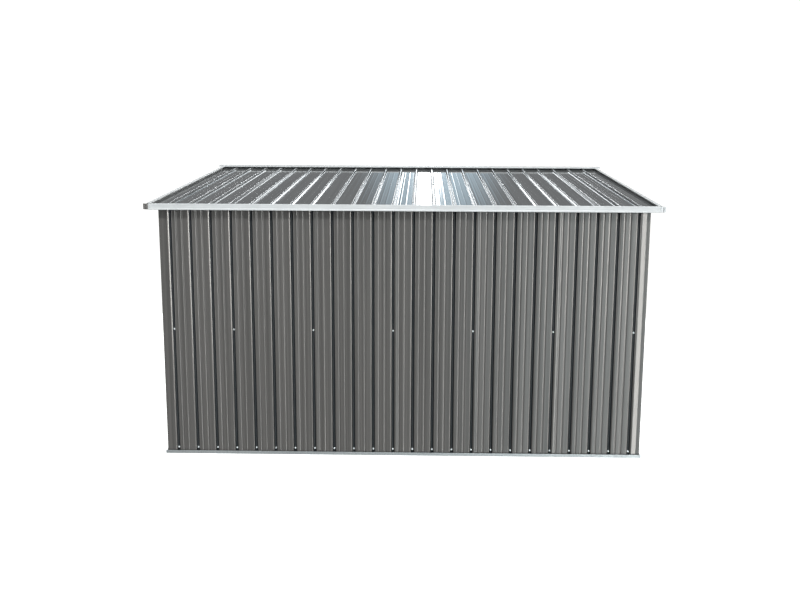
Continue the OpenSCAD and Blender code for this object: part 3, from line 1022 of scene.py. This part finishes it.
def doorHandles():
    low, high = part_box("door_handles")
    middle = leaf["gap"] / 2 + leaf["border"] / 2
    out, foot = -high.y, leafFront
    half = handle["thick"] / 2
    path = softBends([
        (foot, low.z + half), (out + half, low.z + half), (out + half, high.z - half),
        (foot, high.z - half)
    ], handle["round"], 6)
    wide = handle["wide"] / 2
    shares = [math.radians(a) for a in range(-90, 91, 30)]
    crown = [Vector((wide * math.sin(a), half * math.cos(a) ** 0.4)) for a in shares[1:-1]]
    front = [Vector((-wide, handle["edge"]))] + crown + [Vector((wide, handle["edge"]))]
    back = [Vector((p.x, -p.y)) for p in front]
    shape = newShape()
    for hand in (1, -1):

        def place(p, i):
            before, after = path[max(i - 1, 0)], path[min(i + 1, len(path) - 1)]
            along = (after - before).normalized()
            square = Vector((-along.y, along.x))
            at = path[i] + square * p.y
            return turned(2, hand * (middle + p.x), at.x, at.y)

        addStrip(shape, front, back, list(range(len(path))), place)
    makePiece("doorHandles", shape, handleBlack, ["door_handles"])


doorHandles()
print("doors made")

# screws: stamped hexagon heads on a round flange
screw = {
    "flange": 0.0056,
    "flangeThick": 0.0010,
    "hexagon": 0.0040,
    "high": 0.0044,
    "chamfer": 0.0006,
    "sides": 18,
    "footHeight": 0.039,
    "purlinInset": 0.0125,  # from the purlin's edge to the row of roof screws
}
seal = {"thick": 0.0008, "rings": ((0.0062, 0.0), (0.0064, 0.0005), (0.0058, 0.0008))}


def headRings():
    # rings of one head from its flange up: (radius, height, whether the ring has six corners)
    ring = []
    flange, thick, hexagon = screw["flange"], screw["flangeThick"], screw["hexagon"]
    for radius, height, corners in (
        (flange, 0.0, 0), (flange, thick * 0.5, 0), (flange * 0.9, thick, 0),
        (hexagon * 1.12, thick * 1.25, 1), (hexagon * 1.12, screw["high"] - screw["chamfer"], 1),
        (hexagon, screw["high"], 0), (hexagon * 0.5, screw["high"] - 0.0003, 0)
    ):
        circle = []
        for i in range(screw["sides"]):
            a = 2 * math.pi * i / screw["sides"]
            reach = radius
            if corners:
                local = (a % (math.pi / 3)) - math.pi / 6
                reach = radius * math.cos(math.pi / 6) / math.cos(local) / 0.93
            circle.append((reach * math.cos(a), reach * math.sin(a), height))
        ring.append(circle)
    return ring


def addScrew(shape, at, out, turn=0.0):
    # at is where the flange bears, out is the way the head faces
    across = out.orthogonal().normalized()
    across.rotate(Matrix.Rotation(turn, 3, out))
    up = out.cross(across)
    first, rings = len(shape["points"]), headRings()
    for circle in rings:
        for x, y, z in circle:
            shape["points"].append(at + across * x + up * y + out * z)
            shape["depth"].append(0.0)
    joinRings(shape, first, screw["sides"], len(rings))
    closeEnds(shape, first, screw["sides"], len(rings))


def headTurn(i):
    return (i * 2.399) % (math.pi / 3)  # every head stops at its own angle


midHeight = sum(p.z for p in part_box("mid_rail_rear")) / 2


def wallScrews(name, side, first, ribs, laps):
    shape = newShape()
    out = turned(side, 0, -1, 0)
    face = wallFace[side] - ribbed["ribDeep"]
    rows = [(i, screw["footHeight"]) for i in ribs] + [(i, midHeight) for i in laps]
    for count, (i, z) in enumerate(rows):
        lift = ribbed["thick"] if i in laps else 0.0
        addScrew(shape, turned(side, first + i * ribbed["pitch"], -face - lift, z), out,
                 headTurn(count))
    makePiece(name, shape, screwZinc)


allLong, allEnd = list(range(longSpaces + 1)), list(range(endSpaces + 1))
frontRibs = [i for laps in frontLaps for i in range(laps[0], laps[-1] + 1)]
besideDoor = (doorLap, longSpaces - doorLap)
wallScrews("screwsRearWall", 0, longFirst, allLong, lapRibs(longSpaces))
wallScrews("screwsFrontWall", 2, longFirst, [i for i in frontRibs if i not in besideDoor],
           [i for laps in frontLaps for i in laps if i not in besideDoor])
wallScrews("screwsRightEnd", 1, endFirst, allEnd, lapRibs(endSpaces))
wallScrews("screwsLeftEnd", 3, endFirst, allEnd, lapRibs(endSpaces))


def addSeal(shape, at, out):
    across = out.orthogonal().normalized()
    up = out.cross(across)
    first, sides = len(shape["points"]), screw["sides"]
    for radius, height in seal["rings"]:
        for i in range(sides):
            a = 2 * math.pi * i / sides
            spot = across * radius * math.cos(a) + up * radius * math.sin(a)
            shape["points"].append(at + spot + out * height)
            shape["depth"].append(0.0)
    joinRings(shape, first, sides, len(seal["rings"]))
    closeEnds(shape, first, sides, len(seal["rings"]))


def roofScrews():
    heads, seals = newShape(), newShape()
    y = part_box("purlins")[1].y - screw["purlinInset"]
    for side in (0, 2):
        out = turned(side, 0, -lean, upright)
        for i in range(roofSpaces + 1):
            x = roofFirst + i * ribbed["pitch"]
            lapped = i % ribbed["ribsPerSheet"] == ribbed["ribsPerSheet"] - 1 and i < roofSpaces
            lift = ribbed["thick"] if lapped else 0.0
            at = onSlope(side, x, ribbed["ribDeep"] + lift, -y)
            addScrew(heads, at + out * seal["thick"], out, headTurn(i))
            addSeal(seals, at, out)
    makePiece("screwsRoof", heads, screwZinc)
    makePiece("sealsRoof", seals, blackRubberAndSlotShade)


roofScrews()
print("screws made")

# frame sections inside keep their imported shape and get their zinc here
for node in ("top_rail_rear", "top_rail_front", "gable_rail_left", "gable_rail_right",
             "mid_rail_rear", "mid_rail_front", "mid_rails_ends", "ridge_beam", "purlins"):
    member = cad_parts[node]
    member.data.materials.clear()
    member.data.materials.append(frameZinc)

# plain studio floor
ground = {"half": 5.2, "colour": (0.86, 0.86, 0.86), "rough": 0.7, "glow": 0.4}
floorMesh = bpy.data.meshes.new("studioFloor")
reach = ground["half"]
corners = [(-reach, -reach, 0), (reach, -reach, 0), (reach, reach, 0), (-reach, reach, 0)]
floorMesh.from_pydata(corners, [], [(0, 1, 2, 3)])
floor = bpy.data.objects.new("studioFloor", floorMesh)
scene.collection.objects.link(floor)
floorFinish, floorShader = startFinish("floorFinish", ground["colour"], 0.0, ground["rough"])
floorMesh.materials.append(floorFinish)
floorShader.inputs["Emission Color"].default_value = (1, 1, 1, 1)
floorShader.inputs["Emission Strength"].default_value = ground["glow"]
floor.visible_glossy = False  # the gloss of the walls shows the studio, not the floor
floor.visible_diffuse = False
floor.visible_shadow = False

# light: a white studio that the camera sees as plain white; what falls on the shed is a soft
# surround with brighter panels, each at a compass bearing from the rear wall (0 is +Y, 90 is +X)
surround = {
    "colour": (0.95, 0.97, 1.0),
    "strength": 0.2,
    "backdrop": (1, 1, 0.99),
    "backdropStrength": 1.15,
}
panels = {
    "rightPanel": {"bearing": 101, "wide": 22, "soft": 6, "low": -9, "high": 12, "fade": 12,
                   "colour": (1.0, 0.99, 0.97), "strength": 18.0},
    "leftPanel": {"bearing": -104, "wide": 24, "soft": 8, "low": -11, "high": 12, "fade": 14,
                  "colour": (0.97, 0.99, 1.0), "strength": 4.5},
    "frontRight": {"bearing": 158, "wide": 30, "soft": 16, "low": -50, "high": 30, "fade": 9,
                   "colour": (0.78, 0.95, 1.0), "strength": 1.15},
    "cornerGlow": {"bearing": 150.5, "wide": 7, "soft": 2, "low": -50, "high": 20, "fade": 9,
                   "colour": (1.0, 0.99, 0.97), "strength": 11.0},
    "backGlow": {"bearing": 0, "wide": 56, "soft": 10, "low": 6, "high": 17.2, "fade": 4.5,
                 "colour": (0.95, 0.98, 1.0), "strength": 6.0},
    "backLeft": {"bearing": -25, "wide": 18, "soft": 5, "low": 6, "high": 19.0, "fade": 2.4,
                 "colour": (0.95, 0.98, 1.0), "strength": 6.0},
    "backRight": {"bearing": 25, "wide": 18, "soft": 5, "low": 6, "high": 19.6, "fade": 2.4,
                  "colour": (0.95, 0.98, 1.0), "strength": 6.0},
    "backHaze": {"bearing": 1, "wide": 9, "soft": 7, "low": 10, "high": 45, "fade": 3,
                 "colour": (0.62, 0.85, 1.0), "strength": 1.0},
    "backStrip": {"bearing": 0.4, "wide": 2.2, "soft": 1.0, "low": 10, "high": 45, "fade": 3,
                  "colour": (1.0, 1.0, 1.0), "strength": 9.0},
    "overhead": {"bearing": 180, "wide": 360, "soft": 1, "low": 55, "high": 100, "fade": 8,
                 "colour": (1.0, 1.0, 1.0), "strength": 0.25},
}
world = bpy.data.worlds.new("studioLight")
scene.world = world
world.use_nodes = True
world.node_tree.nodes.clear()
heading = addNode(world, "ShaderNodeTexCoord").outputs["Generated"]


def lookMath(kind, *values):
    node = addNode(world, "ShaderNodeMath", dict(enumerate(values)), operation=kind)
    return node.outputs[0]


def alongHeading(direction):
    inputs = {0: heading, 1: direction}
    return addNode(world, "ShaderNodeVectorMath", inputs, operation="DOT_PRODUCT").outputs["Value"]


def window(value, low, high, soft):
    # 1 between low and high, falling to 0 over soft on both sides, all in degrees
    rise = addNode(world, "ShaderNodeMapRange", {
        "Value": value, "From Min": math.radians(low - soft), "From Max": math.radians(low + soft)
    }, interpolation_type="SMOOTHSTEP").outputs[0]
    fall = addNode(world, "ShaderNodeMapRange", {
        "Value": value, "From Min": math.radians(high + soft), "From Max": math.radians(high - soft)
    }, interpolation_type="SMOOTHSTEP").outputs[0]
    return lookMath("MULTIPLY", rise, fall)


height = lookMath("ARCSINE", alongHeading((0, 0, 1)))
glow = tuple(c * surround["strength"] for c in surround["colour"])
for panel in panels.values():
    bearing = math.radians(panel["bearing"])
    forward = alongHeading((math.sin(bearing), math.cos(bearing), 0))
    sideways = alongHeading((math.cos(bearing), -math.sin(bearing), 0))
    turnedBy = lookMath("ARCTAN2", sideways, forward)
    half = panel["wide"] / 2
    share = lookMath(
        "MULTIPLY", window(turnedBy, -half, half, panel["soft"] / 2),
        window(height, panel["low"], panel["high"], panel["fade"] / 2)
    )
    light = addNode(world, "ShaderNodeVectorMath", {
        0: tuple(c * panel["strength"] for c in panel["colour"]), "Scale": share
    }, operation="SCALE").outputs[0]
    glow = addNode(world, "ShaderNodeVectorMath", {0: glow, 1: light}, operation="ADD").outputs[0]
shedLight = addNode(world, "ShaderNodeBackground", {"Color": glow, "Strength": 1.0})
backdrop = addNode(world, "ShaderNodeBackground", {
    "Color": (*surround["backdrop"], 1), "Strength": surround["backdropStrength"]
})
cameraSees = addNode(world, "ShaderNodeLightPath").outputs["Is Camera Ray"]
mixed = addNode(world, "ShaderNodeMixShader", {
    0: cameraSees, 1: shedLight.outputs[0], 2: backdrop.outputs[0]
})
addNode(world, "ShaderNodeOutputWorld", {"Surface": mixed.outputs[0]})

# one sun-like key from above and in front, which shades the wall under the eave
key = {"bearing": 176, "height": 52, "spread": 6, "strength": 3.7}
keyLight = bpy.data.lights.new("keyLight", "SUN")
keyLight.energy = key["strength"]
keyLight.angle = math.radians(key["spread"])
keyObject = bpy.data.objects.new("keyLight", keyLight)
bearing, height = math.radians(key["bearing"]), math.radians(key["height"])
shining = -Vector((
    math.sin(bearing) * math.cos(height), math.cos(bearing) * math.cos(height), math.sin(height)
))
keyObject.rotation_euler = shining.to_track_quat("-Z", "Y").to_euler()
scene.collection.objects.link(keyObject)

# camera at a standing person's height, square to the rear wall
shot = {
    "at": (0.127, -5.517, 1.529),
    "pan": -0.645,
    "tilt": -6.668,
    "roll": 0.375,
    "lens": 36 * 606.8 / 800,
    "shift": -0.0195,
}
camera = bpy.data.cameras.new("studioCamera")
camera.sensor_width = 36
camera.lens = shot["lens"]
camera.shift_x = shot["shift"]
camera.clip_end = 200
cameraObject = bpy.data.objects.new("studioCamera", camera)
scene.collection.objects.link(cameraObject)
pan, tilt, roll = (math.radians(shot[key]) for key in ("pan", "tilt", "roll"))
ahead = Vector((math.sin(pan) * math.cos(tilt), math.cos(pan) * math.cos(tilt), math.sin(tilt)))
rightward = Vector((math.cos(pan), -math.sin(pan), 0))
upward = rightward.cross(ahead)
rolledRight = rightward * math.cos(roll) + upward * math.sin(roll)
rolledUp = upward * math.cos(roll) - rightward * math.sin(roll)
turnMatrix = Matrix((rolledRight, rolledUp, -ahead)).transposed()
cameraObject.matrix_world = Matrix.Translation(shot["at"]) @ turnMatrix.to_4x4()
scene.camera = cameraObject
scene.view_settings.view_transform = "Standard"
print("camera and lights placed")
